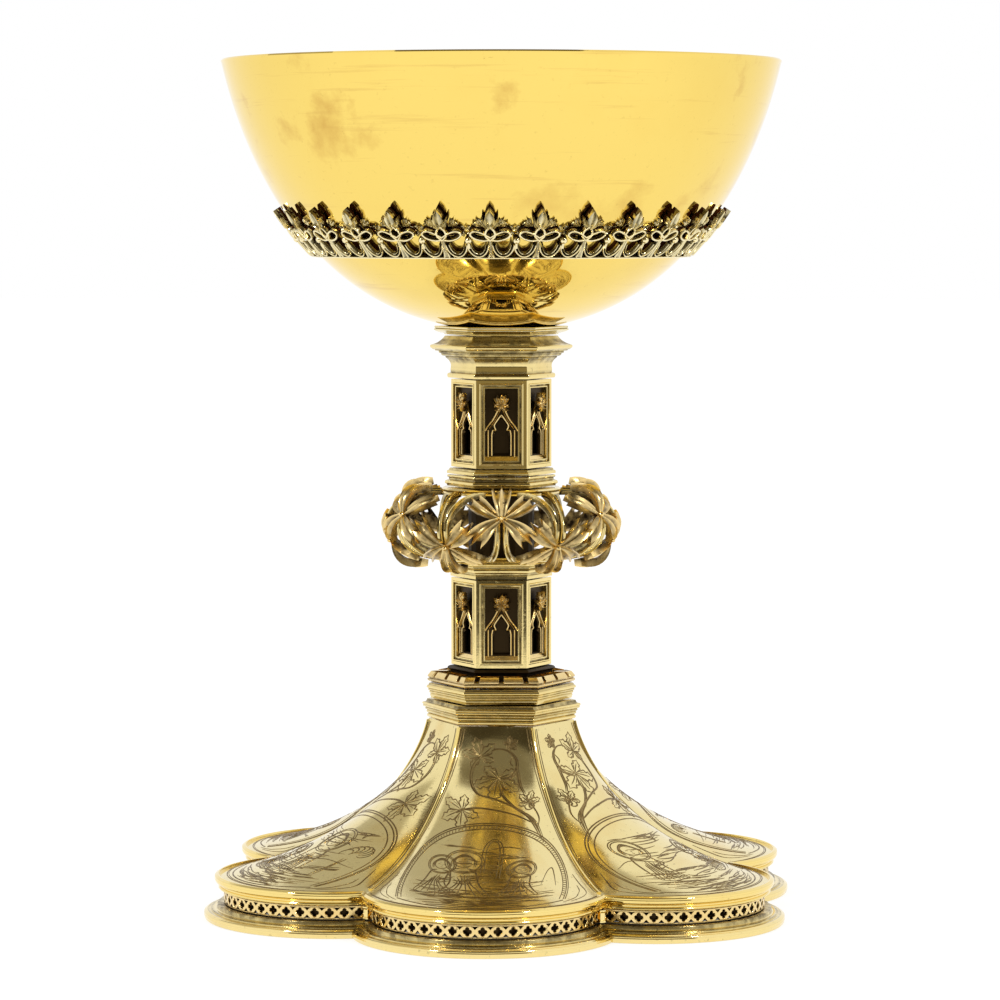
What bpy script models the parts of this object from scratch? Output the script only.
"""A Gothic communion chalice in silver-gilt, built as a stack of pieces on one tie rod.

The axis is +Z and the chalice stands on Z = 0. Sizes are in millimetres; MM turns them into
metres. A hexagon's or a moulding's radius is measured to its corners. The foot has one lobe
towards -Y, and everything above the foot is turned a little about the rod, as it was clamped.
"""

import math

import bmesh
import bpy
from mathutils import Matrix, Vector

MM = 0.001
GAP = 0.3  # left between neighbouring pieces
CUT = 1.0  # how far a cutter runs past the piece it cuts
STACK_TURN_DEG = 5.0  # turn of the stem and cup about the rod, measured from the foot
SIDES = 6
APOTHEM = math.cos(math.pi / SIDES)  # a hexagon's distance to its side, as a share of its radius

# Cup
RIM_RADIUS = 62.6
CUP_DEPTH = 60.4
CUP_WALL = 1.2
CUP_SHOULDER = (0.911, 0.584)  # first handle of the bowl curve, shares of radius and depth
CUP_BELLY = 0.64  # second handle, on the level of the bowl's bottom
CUP_STEPS = 52
CUP_POINTS = 10
CUP_FINE_POINTS = 40  # for finding places on the bowl
BEZIER_STEPS = 8  # steps of the curve between neighbouring points of the bowl

# Leaf cresting round the bowl
LEAF_COUNT = 28
CREST_BASE = 17.5  # height of the band's lower edge above the bowl's lowest point
CREST_BAND = 4.4  # length of the band along the bowl
CREST_THICKNESS = 1.0
CREST_STEM = (1.6, 2.2)  # width and length of each leaf's stem
CREST_LEAF = (4.1, 3.9)  # half the leaf's width and half its height
CREST_LEAF_HALF = [(0.62, 0.25), (1.0, 0.75), (0.5, 1.1), (0.52, 1.55)]  # shares of CREST_LEAF
CREST_LEAF_STANDOFF = 0.6
CREST_TURN_DEG = -3.0  # turn of the first leaf from the stem's front face

# Stem: (projection beyond the shaft's corner radius, height above the piece's foot)
SHAFT_RADIUS = 11.3
SHAFT_LENGTH = 19.7
SHAFT_WALL = 2.0
WINDOW = (0.7257 * SHAFT_RADIUS, 16.9)  # width and height of the opening in each shaft face
WINDOW_SILL = 1.6  # height of the opening's sill above the shaft's foot
TRACERY_THICKNESS = 0.8
TRACERY_RECESS = 0.7  # depth of the tracery behind the shaft's face
LANCET = (3.6, 5.8, 2.9)  # width, straight height and head height of the lancet opening
LANCET_SILL = 1.3
LANCET_STEPS = 6
LANCET_FULLNESS = 0.8  # a half-round head at 1, squarer below it
LINER_WALL = 1.0
SEAT = [(3.7, 1.9), (3.8, 1.1), (1.6, 0.3), (1.4, 0.0)]
SEAT_WEB = 0.5  # metal left under the middle of the bowl
CAPITAL = [(1.4, 9.4), (4.65, 7.2), (4.65, 6.5), (2.2, 5.5), (2.0, 5.1), (1.1, 4.6)]
CAPITAL += [(0.4, 3.2), (0.1, 1.8), (0.1, 1.0), (0.7, 0.7), (0.7, 0.0)]
UPPER_SHOE = [(0.1, 1.2), (0.75, 0.8), (0.75, 0.2), (1.0, 0.0)]
KNOT_TOP_PLATE = [(1.4, 2.5), (1.5, 1.9), (2.55, 1.2), (2.55, 0.3), (1.6, 0.0)]
KNOT_BOTTOM_PLATE = [(1.6, 3.5), (1.2, 3.0), (0.8, 2.4), (0.8, 1.4), (0.2, 0.7), (0.2, 0.0)]
LOWER_SHOE = [(0.1, 3.7), (0.8, 3.4), (0.8, 2.9), (0.2, 2.6), (0.45, 0.0)]
BATTLEMENT_WALL = 4.2
BATTLEMENT = [(4.3, 2.4), (5.4, 1.2), (5.4, 0.5), (4.9, 0.0)]
MERLONS_A_SIDE = 3
MERLON_SLOT = (1.1, 1.1)  # width and depth of the slots between merlons
MERLON_REACH = (2.5, 4.5)  # how far the slots' cutter runs beyond and within the corner radius
STEM_RING = [(5.0, 3.4), (5.54, 2.9), (5.54, 2.0), (4.9, 1.4), (4.9, 0.7), (4.6, 0.0)]

# Knot: an oval section swept round the axis
KNOT_RING_RADIUS = 15.0
KNOT_BULGE = 11.5
KNOT_HEIGHT = 16.3
KNOT_HOOP_THICKNESS = 1.1
KNOT_HOOP_WIDTH = 7.5
KNOT_CORE_SPACE = 3.0  # clear space round the rod inside the core tube
KNOT_CORE_WALL = 1.4
KNOT_STEM_RADIUS = 0.8
KNOT_STEM_SIDES = 5
KNOT_STEM_STEPS = 4
KNOT_STEM_INSET = 2.5  # distance from the hoop's edge to the root of a stem
KNOT_STEM_RISE_DEG = 78.0  # where a stem meets the knot's skin, above or below the equator
KNOT_STEM_SPREAD_DEG = 15.0  # half the angle between a leaf's two stems at the hoop
KNOT_STEM_PARTING_DEG = 3.0  # the same, under the leaf
KNOT_STEM_CURVE = 0.6  # how early the two stems close up, as a power of the run
KNOT_LEAF_THICKNESS = 1.2
KNOT_LEAF_BOSS = 0.7
KNOT_LEAF_POINTS = 20
KNOT_LEAF_LOBES = 5
KNOT_LEAF_LOBE = 0.2  # depth of the notches between the leaf's lobes, as a share of its size
KNOT_LEAF_SIZE = (8.3, 6.4)  # half width and half height of a leaf, along the knot's skin
KNOT_LEAF_RISE_DEG = 21.0  # height of the upper leaves' centres above the knot's equator
KNOT_LEAF_DROP_DEG = 29.0  # the same, below it, for the lower leaves

# Foot
FOOT_RADIUS = 69.9
LOBE_CENTRE_SHARE = 0.58  # distance from the axis to a lobe's centre, as a share of FOOT_RADIUS
COLLAR_RADIUS = 16.5
COLLAR = [(0.5, 4.2), (1.47, 3.3), (1.2, 2.3), (0.5, 1.7), (0.45, 1.0), (0.1, 0.0)]
FOOT_RISE = 32.7
FOOT_SHEET = 1.2
FOOT_HANDLES = ((0.047, 0.255), (0.352, 0.835))  # run and drop shares of the flare's handles
FLANGE_WIDTH = 7.0
FLANGE_SECTION = [(3.0, 3.3), (3.0, 2.4), (1.0, 2.1), (0.2, 1.7), (0.0, 1.3), (0.0, 0.0)]
GALLERY_INSET = 4.4
GALLERY_HEIGHT = 2.7
GALLERY_WALL = 0.8
BACKING_SPACE = 0.9  # clear space between the gallery strip and the wall behind it
BACKING_WALL = 1.0
EDGE_INSET = 2.4
EDGE_WIDTH = 4.2
EDGE_LEDGE = 1.1
EDGE_LIP = (0.8, 1.5)  # width and height of the lip round the foot's rim
EDGE_SECTION = [(0.15, 2.6), (0.0, 2.2), (0.0, 1.0), (1.3, 0.5), (1.3, 0.0)]  # inset and height
POST_RADIUS = 0.75
POST_SIDES = 8
POST_PROJECTION = 1.15  # distance of the posts' axes outside the gallery's inner corners
LOBE_STEPS = 8
FLARE_STEPS = 8

# Fastening
ROD_RADIUS = 3.0
ROD_CLEARANCE = 0.4
ROD_TAIL = 13.0  # rod left below the foot's spreader plate
BOSS_WALL = 4.2
BOSS_LENGTH = 9.0
BOSS_END = 1.5  # metal left above the boss's blind hole
SPREADER = (8.0, 2.5)  # width beyond the rod and thickness
WASHER = (3.2, 1.6)
NUT_WALL = 2.0  # thinnest wall of the nut
NUT_HEIGHT = 5.0
ROD_CHAMFER = 0.5
ROUND_STEPS = 24

GILT = (0.83, 0.62, 0.27)
PALE_GILT = (0.90, 0.74, 0.38)
AGED_GILT = (0.60, 0.43, 0.19)
DARK_GILT = (0.30, 0.21, 0.10)
BRASS = (0.55, 0.45, 0.26)

BOSS_RADIUS = ROD_RADIUS + BOSS_WALL
BORE_RADIUS = BOSS_RADIUS + ROD_CLEARANCE  # hole through the mouldings beside the shafts
KNOT_CORE_BORE = ROD_RADIUS + KNOT_CORE_SPACE
KNOT_CORE_RADIUS = KNOT_CORE_BORE + KNOT_CORE_WALL
LOBE_CENTRE = FOOT_RADIUS * LOBE_CENTRE_SHARE
FLANGE_LOBE = FOOT_RADIUS - LOBE_CENTRE
EDGE_LOBE = FLANGE_LOBE - EDGE_INSET
GALLERY_LOBE = FLANGE_LOBE - GALLERY_INSET
SHEET_LOBE = EDGE_LOBE - EDGE_LIP[0] - GAP

# Levels, from the table upwards
GALLERY_Z = FLANGE_SECTION[0][1] + GAP
EDGE_Z = GALLERY_Z + GALLERY_HEIGHT + GAP
SHEET_RIM_Z = EDGE_Z + EDGE_LEDGE + GAP + FOOT_SHEET
DECK_Z = SHEET_RIM_Z + FOOT_RISE
COLLAR_Z = DECK_Z + GAP
STEM_RING_Z = COLLAR_Z + COLLAR[0][1] + GAP
LOWER_SHOE_Z = STEM_RING_Z + STEM_RING[0][1] + GAP
LOWER_SHAFT_Z = LOWER_SHOE_Z + LOWER_SHOE[0][1] + GAP
KNOT_BOTTOM_PLATE_Z = LOWER_SHAFT_Z + SHAFT_LENGTH + GAP
KNOT_Z = KNOT_BOTTOM_PLATE_Z + KNOT_BOTTOM_PLATE[0][1] + GAP
KNOT_TOP_PLATE_Z = KNOT_Z + KNOT_HEIGHT + GAP
UPPER_SHOE_Z = KNOT_TOP_PLATE_Z + KNOT_TOP_PLATE[0][1] + GAP
UPPER_SHAFT_Z = UPPER_SHOE_Z + UPPER_SHOE[0][1] + GAP
CAPITAL_Z = UPPER_SHAFT_Z + SHAFT_LENGTH + GAP
SEAT_Z = CAPITAL_Z + CAPITAL[0][1] + GAP
BOWL_Z = SEAT_Z + SEAT_WEB + GAP
SPREADER_Z = DECK_Z - FOOT_SHEET - GAP - SPREADER[1]
WASHER_Z = SPREADER_Z - GAP - WASHER[1]
NUT_Z = WASHER_Z - GAP - NUT_HEIGHT


def clear_scene():
    for old in list(bpy.data.objects):
        bpy.data.objects.remove(old, do_unlink=True)


def new_collection(name):
    made = bpy.data.collections.new(name)
    bpy.context.scene.collection.children.link(made)
    return made


def gilt_material(name, colour, roughness):
    made = bpy.data.materials.new(name)
    made.use_nodes = True
    shader = made.node_tree.nodes["Principled BSDF"]
    shader.inputs["Base Color"].default_value = (*colour, 1.0)
    shader.inputs["Roughness"].default_value = roughness
    shader.inputs["Metallic"].default_value = 1.0
    return made


def place(name, mesh, colour, roughness=0.25, turn_deg=0.0, z=0.0):
    """A new object of the chalice at height z, with a material of its own."""
    made = bpy.data.objects.new(name, mesh)
    CHALICE.objects.link(made)
    made.location.z = z * MM
    made.rotation_euler.z = math.radians(turn_deg)
    if not mesh.materials:
        mesh.materials.append(gilt_material(name, colour, roughness))
    return made


def finished(mesh):
    """Scales a mesh from millimetres to metres and smooths its round faces."""
    mesh.transform(Matrix.Scale(MM, 4))
    mesh.shade_smooth()
    mesh.set_sharp_from_angle(angle=math.radians(30))
    return mesh


def cutter(name, mesh):
    made = bpy.data.objects.new(name, mesh)
    made.hide_render = True
    made.display_type = "WIRE"
    CUTTERS.objects.link(made)
    return made


def boolean(made, other, operation="DIFFERENCE"):
    step = made.modifiers.new(other.name, "BOOLEAN")
    step.operation = operation
    step.object = other
    return step


def screw(made, steps):
    step = made.modifiers.new("turn", "SCREW")
    step.axis = "Z"
    step.angle = math.tau
    step.steps = steps
    step.render_steps = steps
    step.use_merge_vertices = True
    step.merge_threshold = 1e-5
    step.use_smooth_shade = steps > SIDES
    return step


def profile_mesh(name, profile, ring):
    """Edges through (radius, z) points. The profile runs down the outer side; a ring closes up."""
    count = len(profile)
    edges = [(i, i + 1) for i in range(count - 1)] + ([(count - 1, 0)] if ring else [])
    mesh = bpy.data.meshes.new(name)
    mesh.from_pydata([(r * MM, 0.0, z * MM) for r, z in profile], edges, [])
    return mesh


def turned(name, profile, colour, steps=SIDES, ring=False, roughness=0.25, turn_deg=0.0, z=0.0):
    mesh = profile_mesh(name, profile, ring)
    made = place(name, mesh, colour, roughness, turn_deg, z)
    screw(made, steps)
    return made


def turned_cutter(name, profile, steps, ring=False):
    made = cutter(name, profile_mesh(name, profile, ring))
    screw(made, steps)
    return made


def lerp(low, high, share):
    return low + (high - low) * share


def bezier(points, t):
    a, b, c, d = (Vector(point) for point in points)
    s = 1 - t
    return s**3 * a + 3 * s * s * t * b + 3 * s * t * t * c + t**3 * d


# ---------------------------------------------------------------- cup


def bowl_curve(offset, count=CUP_POINTS):
    """(radius, z) along the bowl from the rim down to the axis, offset outwards by offset."""
    handles = (
        (RIM_RADIUS, CUP_DEPTH),
        (RIM_RADIUS * CUP_SHOULDER[0], CUP_DEPTH * CUP_SHOULDER[1]),
        (RIM_RADIUS * CUP_BELLY, 0.0),
        (0.0, 0.0),
    )
    steps = count * BEZIER_STEPS
    fine = [bezier(handles, i / steps) for i in range(steps + 1)]
    found = []
    for i in range(0, len(fine), BEZIER_STEPS):
        before, after = fine[max(i - 1, 0)], fine[min(i + 1, len(fine) - 1)]
        along = (after - before).normalized()
        out = Vector((-along.y, along.x))
        point = fine[i] + offset * out
        found.append((max(point.x, 0.0), point.y))
    found[0] = (found[0][0], CUP_DEPTH)
    found[-1] = (0.0, found[-1][1])
    return found


def on_bowl(height):
    """(radius, z, outward normal) on the bowl's outer side at a height above its lowest point."""
    curve = bowl_curve(0.0, CUP_FINE_POINTS)
    for (r0, z0), (r1, z1) in zip(curve, curve[1:]):
        if z1 <= height:
            share = (z0 - height) / (z0 - z1)
            normal = Vector((z0 - z1, r1 - r0)).normalized()
            return lerp(r0, r1, share), height, normal
    raise ValueError("height is below the bowl")


def crest_point(angle, along, out):
    """A point of the cresting: along runs up the bowl from the band's lower edge."""
    height = CREST_BASE
    radius, z, normal = on_bowl(height)
    steps = max(2, math.ceil(abs(along)))
    for _ in range(steps):
        height += along / steps * normal.x
        radius, z, normal = on_bowl(height)
    r = radius + out * normal.x
    return Vector((r * math.cos(angle), r * math.sin(angle), z + out * normal.y))


def cup():
    inner = bowl_curve(-CUP_WALL)
    profile = bowl_curve(0.0)
    turned(
        "cup",
        inner[::-1] + profile,
        PALE_GILT,
        steps=CUP_STEPS,
        roughness=0.15,
        turn_deg=STACK_TURN_DEG,
        z=BOWL_Z,
    )


def crest_leaf_outline():
    """Half-leaf points, doubled about the middle: a stem and three lobes."""
    width, height = CREST_LEAF
    stem, length = CREST_STEM
    half = [(stem / 2, -length), (stem / 2, 0.1 * height)]
    half += [(u * width, v * height) for u, v in CREST_LEAF_HALF]
    left = [(-u, v) for u, v in reversed(half)]
    return half + [(0.0, 2 * height)] + left


def leaf_cresting():
    """A band with a row of leaves standing on it, all following the bowl."""
    outer = GAP + CREST_THICKNESS
    corners = ((CREST_BAND, GAP), (CREST_BAND, outer), (0.0, outer), (0.0, GAP))
    band = [crest_point(0.0, along, out) for along, out in corners]
    made = turned(
        "leaf_cresting",
        [(point.x, point.z) for point in band],
        AGED_GILT,
        steps=2 * LEAF_COUNT,
        ring=True,
        turn_deg=STACK_TURN_DEG + CREST_TURN_DEG - 90.0,
        z=BOWL_Z,
    )
    work = bmesh.new()
    radius = on_bowl(CREST_BASE + CREST_BAND)[0]
    root = CREST_BAND + CREST_STEM[1] / 2
    for leaf in range(LEAF_COUNT):
        middle = leaf * math.tau / LEAF_COUNT
        rings = []
        for out in (CREST_LEAF_STANDOFF, CREST_LEAF_STANDOFF + CREST_THICKNESS):
            points = [
                crest_point(middle + u / radius, root + v, out) for u, v in crest_leaf_outline()
            ]
            rings.append([work.verts.new(point) for point in points])
        prism(work, rings)
    leaves = cutter("cresting_leaves", mesh_of(work, "cresting_leaves"))
    leaves.location = made.location
    leaves.rotation_euler = made.rotation_euler
    boolean(made, leaves, "UNION")


def prism(work, rings):
    """Closes the body between two matching outlines of vertices."""
    low, high = rings
    count = len(low)
    for i in range(count):
        j = (i + 1) % count
        work.faces.new((low[i], low[j], high[j], high[i]))
    work.faces.new(low[::-1])
    work.faces.new(high)


def mesh_of(work, name):
    bmesh.ops.recalc_face_normals(work, faces=work.faces)
    bmesh.ops.triangulate(work, faces=[face for face in work.faces if len(face.verts) > 4])
    mesh = bpy.data.meshes.new(name)
    work.to_mesh(mesh)
    work.free()
    return finished(mesh)


# ---------------------------------------------------------------- stem


def moulding(name, profile, z, colour=GILT, radius=SHAFT_RADIUS, bore=BORE_RADIUS, turn=None):
    """A hexagonal moulding with a round hole down its middle."""
    outside = [(radius + out, height) for out, height in profile]
    top, bottom = profile[0][1], profile[-1][1]
    turn_deg = STACK_TURN_DEG if turn is None else turn
    section = [(0.0, top)] + outside + [(0.0, bottom)]
    made = turned(name, section, colour, turn_deg=turn_deg, z=z)
    above, below = top + CUT, bottom - CUT
    drill = [(0.0, above), (bore, above), (bore, below), (0.0, below)]
    hole = turned_cutter(name + "_bore", drill, ROUND_STEPS)
    hole.location.z = z * MM
    boolean(made, hole)
    return made


def cup_seat():
    """The seat's upper side is dished to the bowl."""
    made = moulding("cup_seat", SEAT, SEAT_Z)
    reach = RIM_RADIUS + CUP_DEPTH
    dish = bowl_curve(GAP)[CUP_POINTS // 2 :]
    bowl = turned_cutter("bowl_space", [(0.0, reach), (dish[0][0], reach)] + dish, CUP_STEPS)
    bowl.location.z = BOWL_Z * MM
    bowl.rotation_euler.z = math.radians(STACK_TURN_DEG)
    boolean(made, bowl)


def box_mesh(name, low, high):
    work = bmesh.new()
    bmesh.ops.create_cube(work, size=1.0)
    size = Vector(high) - Vector(low)
    middle = (Vector(high) + Vector(low)) / 2
    bmesh.ops.scale(work, vec=size, verts=work.verts)
    bmesh.ops.translate(work, vec=middle, verts=work.verts)
    return mesh_of(work, name)


def shaft(name, z):
    """A hexagonal tube with a window in each face."""
    profile = band_section(SHAFT_RADIUS, SHAFT_WALL / APOTHEM, SHAFT_LENGTH)
    made = turned(name, profile, PALE_GILT, ring=True, turn_deg=STACK_TURN_DEG, z=z)
    width, height = WINDOW
    reach = SHAFT_RADIUS + CUT
    low = (-width / 2, -reach, WINDOW_SILL)
    high = (width / 2, reach, WINDOW_SILL + height)
    for side in range(SIDES // 2):
        window = cutter(f"{name}_window_{side + 1}", box_mesh("window", low, high))
        window.location.z = z * MM
        window.rotation_euler.z = math.radians(STACK_TURN_DEG + side * 360 / SIDES)
        boolean(made, window)


def liner(name, z):
    """A dark tube behind a shaft's windows."""
    radius = SHAFT_RADIUS - (SHAFT_WALL + GAP) / APOTHEM
    profile = band_section(radius, LINER_WALL, SHAFT_LENGTH)
    turned(name, profile, DARK_GILT, ring=True, roughness=0.5, turn_deg=STACK_TURN_DEG, z=z)


def tracery_mesh():
    """A window panel with a lancet opening under a raised gable, upright in the XZ plane."""
    width, height = (size - 2 * GAP for size in WINDOW)
    curve = bpy.data.curves.new("tracery", "CURVE")
    curve.dimensions = "2D"
    curve.fill_mode = "BOTH"
    curve.extrude = TRACERY_THICKNESS / 2 * MM
    lancet_width, straight, head = LANCET
    lancet = [(-lancet_width / 2, LANCET_SILL), (lancet_width / 2, LANCET_SILL)]
    for i in range(LANCET_STEPS + 1):
        turn = math.pi * i / LANCET_STEPS
        u = lancet_width / 2 * math.cos(turn)
        lancet.append((u, LANCET_SILL + straight + head * math.sin(turn) ** LANCET_FULLNESS))
    outline = [(-width / 2, 0.0), (width / 2, 0.0), (width / 2, height), (-width / 2, height)]
    for points in (outline, lancet):
        spline = curve.splines.new("POLY")
        spline.points.add(len(points) - 1)
        spline.use_cyclic_u = True
        for point, (u, v) in zip(spline.points, points):
            point.co = (u * MM, v * MM, 0.0, 1.0)
    holder = bpy.data.objects.new("tracery_outline", curve)
    CUTTERS.objects.link(holder)
    graph = bpy.context.evaluated_depsgraph_get()
    mesh = bpy.data.meshes.new_from_object(holder.evaluated_get(graph))
    bpy.data.objects.remove(holder)
    work = bmesh.new()
    work.from_mesh(mesh)
    bmesh.ops.remove_doubles(work, verts=work.verts, dist=1e-6)
    bmesh.ops.rotate(work, verts=work.verts, matrix=Matrix.Rotation(math.pi / 2, 3, "X"))
    bmesh.ops.recalc_face_normals(work, faces=work.faces)
    work.to_mesh(mesh)
    work.free()
    return mesh


def tracery_panels(name, mesh, shaft_z):
    depth = SHAFT_RADIUS * APOTHEM - TRACERY_RECESS - TRACERY_THICKNESS / 2
    for side in range(SIDES):
        made = place(f"{name}_{side + 1}", mesh, AGED_GILT, 0.35)
        turn = math.radians(STACK_TURN_DEG + side * 360 / SIDES)
        made.rotation_euler.z = turn
        made.location.x = depth * math.sin(turn) * MM
        made.location.y = -depth * math.cos(turn) * MM
        made.location.z = (shaft_z + WINDOW_SILL + GAP) * MM


def battlement_ring():
    """A crenellated hexagonal ring round the foot of the lower shaft."""
    profile = [(SHAFT_RADIUS + out, height) for out, height in BATTLEMENT]
    inner = SHAFT_RADIUS + LOWER_SHOE[-1][0] + GAP * 2
    profile += [(inner, 0.0), (inner, BATTLEMENT[0][1])]
    made = turned("battlement_ring", profile, GILT, ring=True, turn_deg=STACK_TURN_DEG, z=LOWER_SHOE_Z)
    top = BATTLEMENT[0][1]
    width, depth = MERLON_SLOT
    side_length = SHAFT_RADIUS + BATTLEMENT[0][0]
    outside, inside = MERLON_REACH
    length = outside + inside
    middle_y = length / 2 - (SHAFT_RADIUS + BATTLEMENT[1][0] + outside)
    pitch = side_length / MERLONS_A_SIDE
    work = bmesh.new()
    for side in range(SIDES):
        turn = Matrix.Rotation(side * math.tau / SIDES, 3, "Z")
        for slot in range(MERLONS_A_SIDE):
            middle = (slot + 0.5) * pitch - side_length / 2
            start = len(work.verts)
            bmesh.ops.create_cube(work, size=1.0)
            work.verts.ensure_lookup_table()
            own = work.verts[start:]
            bmesh.ops.scale(work, vec=(width, length, 2 * depth), verts=own)
            bmesh.ops.translate(work, vec=(middle, middle_y, top), verts=own)
            bmesh.ops.rotate(work, verts=own, matrix=turn)
    slots = cutter("merlon_slots", mesh_of(work, "merlon_slots"))
    slots.location.z = LOWER_SHOE_Z * MM
    slots.rotation_euler.z = math.radians(STACK_TURN_DEG)
    boolean(made, slots)


def stem():
    cup_seat()
    moulding("capital", CAPITAL, CAPITAL_Z)
    shaft("upper_shaft", UPPER_SHAFT_Z)
    shaft("lower_shaft", LOWER_SHAFT_Z)
    liner("upper_liner", UPPER_SHAFT_Z)
    liner("lower_liner", LOWER_SHAFT_Z)
    mesh = tracery_mesh()
    tracery_panels("upper_tracery", mesh, UPPER_SHAFT_Z)
    tracery_panels("lower_tracery", mesh, LOWER_SHAFT_Z)
    moulding("upper_shaft_shoe", UPPER_SHOE, UPPER_SHOE_Z)
    moulding("knot_top_plate", KNOT_TOP_PLATE, KNOT_TOP_PLATE_Z, bore=KNOT_CORE_BORE)
    moulding("knot_bottom_plate", KNOT_BOTTOM_PLATE, KNOT_BOTTOM_PLATE_Z, bore=KNOT_CORE_BORE)
    moulding("lower_shaft_shoe", LOWER_SHOE, LOWER_SHOE_Z)
    battlement_ring()
    moulding("stem_ring", STEM_RING, STEM_RING_Z)


# ---------------------------------------------------------------- knot


def knot_point(angle, rise, out=0.0):
    """A point on the knot's oval skin, at a rise angle above the equator, moved outwards."""
    r = KNOT_RING_RADIUS + (KNOT_BULGE + out) * math.cos(rise)
    z = KNOT_HEIGHT / 2 + (KNOT_HEIGHT / 2 + out) * math.sin(rise)
    return Vector((r * math.cos(angle), r * math.sin(angle), z))


def knot_core():
    profile = band_section(KNOT_CORE_RADIUS, KNOT_CORE_WALL, KNOT_HEIGHT)
    turned("knot_core", profile, DARK_GILT, ROUND_STEPS, ring=True, roughness=0.5, z=KNOT_Z)


def tube_mesh(name, path, radius, sides=KNOT_STEM_SIDES):
    """A closed round bar through the path's points."""
    work = bmesh.new()
    rings = []
    for i, point in enumerate(path):
        ahead = path[min(i + 1, len(path) - 1)] - path[max(i - 1, 0)]
        frame = ahead.to_track_quat("Z", "Y").to_matrix()
        ring = []
        for side in range(sides):
            turn = side * math.tau / sides
            spoke = Vector((math.cos(turn), math.sin(turn), 0.0)) * radius
            ring.append(work.verts.new(point + frame @ spoke))
        rings.append(ring)
    for low, high in zip(rings, rings[1:]):
        for side in range(sides):
            after = (side + 1) % sides
            work.faces.new((low[side], low[after], high[after], high[side]))
    work.faces.new(rings[0][::-1])
    work.faces.new(rings[-1])
    return mesh_of(work, name)


def knot_cage(name, top, leaf_offset_deg):
    """A flat hoop that carries the pairs of stems of six leaves on the knot's other half."""
    low = KNOT_HEIGHT - KNOT_HOOP_THICKNESS if top else 0.0
    high = low + KNOT_HOOP_THICKNESS
    inner = KNOT_CORE_RADIUS + GAP
    outer = inner + KNOT_HOOP_WIDTH
    hoop = [(outer, high), (outer, low), (inner, low), (inner, high)]
    made = turned(
        name, hoop, AGED_GILT, steps=ROUND_STEPS, ring=True, turn_deg=STACK_TURN_DEG, z=KNOT_Z
    )
    start = math.radians(KNOT_STEM_RISE_DEG if top else -KNOT_STEM_RISE_DEG)
    end = math.radians(-KNOT_LEAF_DROP_DEG if top else KNOT_LEAF_RISE_DEG)
    sink = -(KNOT_STEM_RADIUS + GAP)
    for leaf in range(SIDES):
        middle = leaf_offset_deg + leaf * 360 / SIDES
        for side in (-1, 1):
            path = []
            for i in range(KNOT_STEM_STEPS + 1):
                share = i / KNOT_STEM_STEPS
                spread = lerp(KNOT_STEM_SPREAD_DEG, KNOT_STEM_PARTING_DEG, share**KNOT_STEM_CURVE)
                angle = math.radians(middle + side * spread)
                path.append(knot_point(angle, lerp(start, end, share), sink))
            root = path[0].xy.normalized() * (outer - KNOT_STEM_INSET)
            path.insert(0, Vector((root.x, root.y, (low + high) / 2)))
            stem_name = f"{name}_stem_{leaf}_{side}"
            bar = cutter(stem_name, tube_mesh(stem_name, path, KNOT_STEM_RADIUS))
            bar.location = made.location
            bar.rotation_euler = made.rotation_euler
            boolean(made, bar, "UNION")


def knot_leaf_mesh(name, rise_deg, point_up):
    """A five-lobed leaf on the knot's skin, with a raised middle, centred on angle 0."""
    half_width, half_height = KNOT_LEAF_SIZE
    outline = []
    for i in range(KNOT_LEAF_POINTS):
        turn = i * math.tau / KNOT_LEAF_POINTS
        wave = math.cos(KNOT_LEAF_LOBES * (turn - math.pi / 2))
        lobe = 1.0 + KNOT_LEAF_LOBE * (wave - 1.0)
        u = half_width * lobe * math.cos(turn)
        outline.append((u, point_up * half_height * lobe * math.sin(turn)))
    work = bmesh.new()
    rings = []
    for out in (0.0, KNOT_LEAF_THICKNESS):
        rings.append([work.verts.new(leaf_point(u, v, rise_deg, out)) for u, v in outline])
    back = work.verts.new(leaf_point(0.0, 0.0, rise_deg, 0.0))
    front = work.verts.new(leaf_point(0.0, 0.0, rise_deg, KNOT_LEAF_THICKNESS + KNOT_LEAF_BOSS))
    inner, outer = rings
    for i in range(KNOT_LEAF_POINTS):
        j = (i + 1) % KNOT_LEAF_POINTS
        work.faces.new((inner[i], inner[j], outer[j], outer[i]))
        work.faces.new((inner[j], inner[i], back))
        work.faces.new((outer[i], outer[j], front))
    return mesh_of(work, name)


def leaf_point(u, v, rise_deg, out):
    rise = math.radians(rise_deg) + v / ((KNOT_BULGE + KNOT_HEIGHT / 2) / 2)
    radius = KNOT_RING_RADIUS + KNOT_BULGE * math.cos(rise)
    return knot_point(u / radius, rise, out)


def knot():
    knot_core()
    knot_cage("knot_cage_upper", True, 0.0)
    knot_cage("knot_cage_lower", False, 30.0)
    upper = knot_leaf_mesh("knot_leaf_upper", KNOT_LEAF_RISE_DEG, 1)
    lower = knot_leaf_mesh("knot_leaf_lower", -KNOT_LEAF_DROP_DEG, -1)
    for leaf in range(SIDES):
        turn = STACK_TURN_DEG + leaf * 360 / SIDES
        place(f"knot_leaf_upper_{leaf + 1}", upper, GILT, turn_deg=turn - 90, z=KNOT_Z)
        place(f"knot_leaf_lower_{leaf + 1}", lower, GILT, turn_deg=turn - 60, z=KNOT_Z)


# ---------------------------------------------------------------- foot


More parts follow.
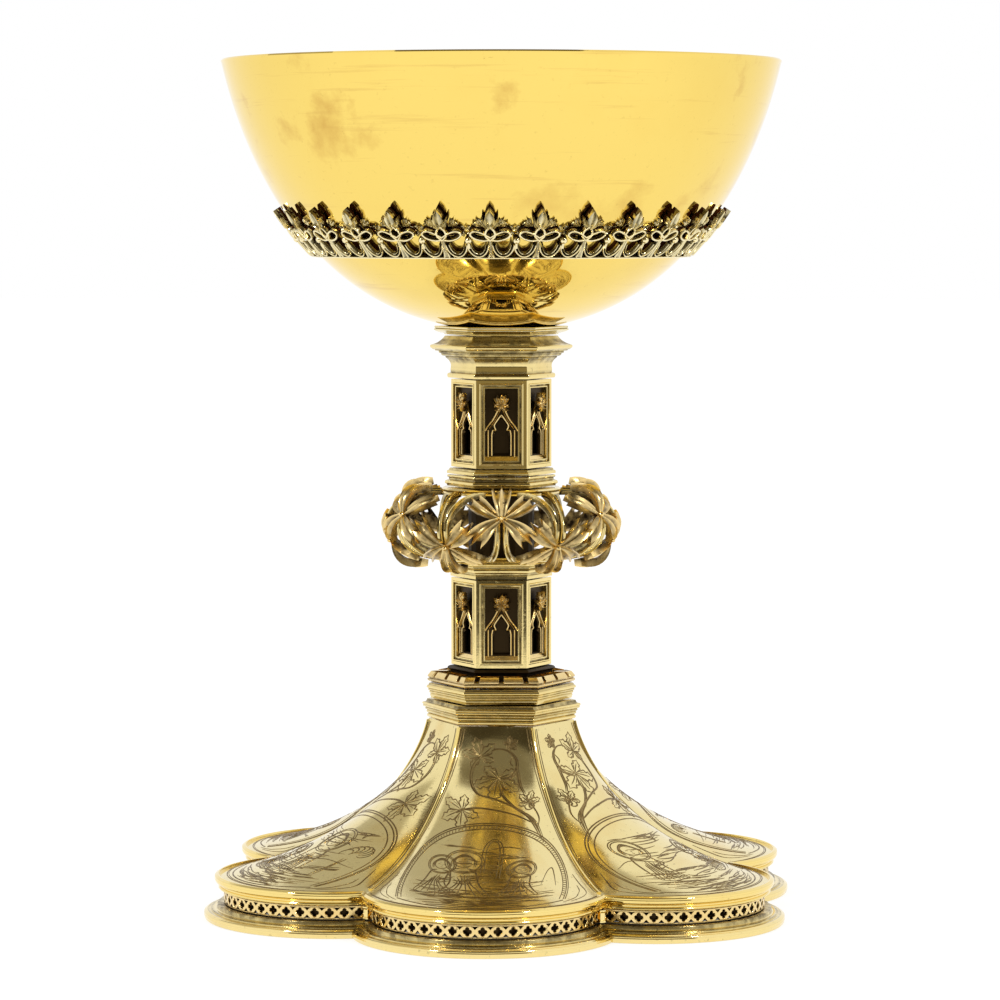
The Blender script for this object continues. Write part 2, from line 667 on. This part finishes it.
def lobe_outline(lobe_radius, steps=LOBE_STEPS):
    """Points of a six-lobed outline, and each point's angle from its lobe's middle."""
    half = math.pi / SIDES
    reach = LOBE_CENTRE * APOTHEM
    notch = reach + math.sqrt(lobe_radius**2 - (LOBE_CENTRE * math.sin(half)) ** 2)
    end = math.atan2(notch * math.sin(half), notch * math.cos(half) - LOBE_CENTRE)
    found = []
    for lobe in range(SIDES):
        middle = lobe * math.tau / SIDES - math.pi / 2
        for i in range(steps):
            swing = lerp(-end, end, i / steps)
            x = LOBE_CENTRE + lobe_radius * math.cos(swing)
            y = lobe_radius * math.sin(swing)
            found.append(Matrix.Rotation(middle, 2) @ Vector((x, y)))
    return found


def hexagon_outline(radius, steps=LOBE_STEPS):
    found = []
    for lobe in range(SIDES):
        first = lobe * math.tau / SIDES - math.pi / 2 - math.pi / SIDES
        after = first + math.tau / SIDES
        start = Vector((math.cos(first), math.sin(first))) * radius
        end = Vector((math.cos(after), math.sin(after))) * radius
        for i in range(steps):
            found.append(start.lerp(end, i / steps))
    return found


def circle_outline(radius, steps=LOBE_STEPS):
    count = steps * SIDES
    start = -math.pi / 2 - math.pi / SIDES
    turns = [start + i * math.tau / count for i in range(count)]
    return [Vector((radius * math.cos(turn), radius * math.sin(turn))) for turn in turns]


def loft(name, rings, closed):
    """Quads between rings of equal count, each a (outline, z) pair from the top outwards."""
    points = [(p.x, p.y, z) for outline, z in rings for p in outline]
    count = len(rings[0][0])
    faces = []
    spans = len(rings) if closed else len(rings) - 1
    for i in range(spans):
        above, below = i * count, (i + 1) % len(rings) * count
        for j in range(count):
            k = (j + 1) % count
            faces.append((above + j, below + j, below + k, above + k))
    mesh = bpy.data.meshes.new(name)
    mesh.from_pydata(points, [], faces)
    return mesh


def lobed_ring(name, section, z, colour, roughness=0.25):
    """A ring whose section of (lobe radius, height) points runs down the outer side and back up."""
    rings = [(lobe_outline(lobe), height) for lobe, height in section]
    return place(name, finished(loft(name, rings, True)), colour, roughness, z=z)


def foot_body():
    """Sheet metal from a flat hexagonal deck, down a hollow flare, out to six lobes."""
    top = hexagon_outline(COLLAR_RADIUS)
    bottom = lobe_outline(SHEET_LOBE)
    (run_a, drop_a), (run_b, drop_b) = FOOT_HANDLES
    handles = ((0.0, 0.0), (run_a, drop_a), (run_b, drop_b), (1.0, 1.0))
    rings = [(circle_outline(ROD_RADIUS + ROD_CLEARANCE), DECK_Z), (top, DECK_Z)]
    for i in range(1, FLARE_STEPS + 1):
        run, drop = bezier(handles, i / FLARE_STEPS)
        outline = [a.lerp(b, run) for a, b in zip(top, bottom)]
        rings.append((outline, DECK_Z - drop * FOOT_RISE))
    made = place("foot_body", finished(loft("foot_body", rings, False)), GILT)
    sheet = made.modifiers.new("sheet", "SOLIDIFY")
    sheet.thickness = FOOT_SHEET * MM
    sheet.offset = -1.0


def foot_rim():
    inner = FLANGE_LOBE - FLANGE_WIDTH
    flange = [(FLANGE_LOBE - inset, height) for inset, height in FLANGE_SECTION]
    lobed_ring("base_flange", flange + [(inner, 0.0), (inner, FLANGE_SECTION[0][1])], 0.0, GILT)
    strip = band_section(GALLERY_LOBE, GALLERY_WALL, GALLERY_HEIGHT)
    lobed_ring("pierced_gallery", strip, GALLERY_Z, AGED_GILT)
    backing = GALLERY_LOBE - GALLERY_WALL - BACKING_SPACE
    wall = band_section(backing, BACKING_WALL, GALLERY_HEIGHT)
    lobed_ring("gallery_backing", wall, GALLERY_Z, DARK_GILT, 0.5)
    lip = EDGE_LIP[0]
    section = EDGE_SECTION + [(EDGE_WIDTH, 0.0), (EDGE_WIDTH, EDGE_LEDGE)]
    section += [(lip, EDGE_LEDGE), (lip, EDGE_LEDGE + EDGE_LIP[1])]
    edge = [(EDGE_LOBE - inset, height) for inset, height in section]
    lobed_ring("foot_edge_moulding", edge, EDGE_Z, PALE_GILT)


def band_section(outer, wall, height):
    return [(outer, height), (outer, 0.0), (outer - wall, 0.0), (outer - wall, height)]


def gallery_posts():
    """A small round post in each inner corner of the gallery."""
    half = math.pi / SIDES
    side = LOBE_CENTRE * math.sin(half)
    notch = LOBE_CENTRE * APOTHEM + math.sqrt(GALLERY_LOBE**2 - side**2)
    reach = notch + POST_PROJECTION
    work = bmesh.new()
    bmesh.ops.create_cone(
        work,
        cap_ends=True,
        segments=POST_SIDES,
        radius1=POST_RADIUS,
        radius2=POST_RADIUS,
        depth=GALLERY_HEIGHT,
        matrix=Matrix.Translation((0.0, 0.0, GALLERY_HEIGHT / 2)),
    )
    mesh = mesh_of(work, "gallery_post")
    for corner in range(SIDES):
        turn = corner * math.tau / SIDES
        made = place(f"gallery_post_{corner + 1}", mesh, GILT, z=GALLERY_Z)
        made.location.x = reach * math.cos(turn) * MM
        made.location.y = reach * math.sin(turn) * MM


def foot():
    moulding("foot_collar", COLLAR, COLLAR_Z, radius=COLLAR_RADIUS, bore=ROD_RADIUS + ROD_CLEARANCE)
    foot_body()
    foot_rim()
    gallery_posts()


# ---------------------------------------------------------------- fastening


def fastening():
    boss_top = BOWL_Z - GAP
    blind_end = BOSS_LENGTH - BOSS_END
    thread = ROD_RADIUS + GAP
    boss = [(0.0, BOSS_LENGTH), (BOSS_RADIUS, BOSS_LENGTH), (BOSS_RADIUS, 0.0), (thread, 0.0)]
    boss += [(thread, blind_end), (0.0, blind_end)]
    turned("cup_boss", boss, BRASS, ROUND_STEPS, z=boss_top - BOSS_LENGTH)
    top = boss_top - BOSS_END - GAP
    bottom = SPREADER_Z - ROD_TAIL
    tip = ROD_RADIUS - ROD_CHAMFER
    rod = [(0.0, top), (tip, top), (ROD_RADIUS, top - ROD_CHAMFER)]
    rod += [(ROD_RADIUS, bottom + ROD_CHAMFER), (tip, bottom), (0.0, bottom)]
    turned("tie_rod", rod, BRASS, ROUND_STEPS)
    hole = ROD_RADIUS + ROD_CLEARANCE
    for name, size, z in (("spreader_plate", SPREADER, SPREADER_Z), ("washer", WASHER, WASHER_Z)):
        width, height = size
        profile = band_section(ROD_RADIUS + width, ROD_RADIUS + width - hole, height)
        turned(name, profile, BRASS, ROUND_STEPS, ring=True, z=z)
    nut_radius = (ROD_RADIUS + NUT_WALL) / APOTHEM
    flats = [(0.0, NUT_HEIGHT), (0.0, 0.0)]
    moulding("retaining_nut", flats, NUT_Z, BRASS, radius=nut_radius, bore=thread, turn=0.0)


clear_scene()
CHALICE = new_collection("communion_chalice")
CUTTERS = new_collection("cutters")
CUTTERS.hide_render = True
cup()
leaf_cresting()
stem()
knot()
foot()
fastening()
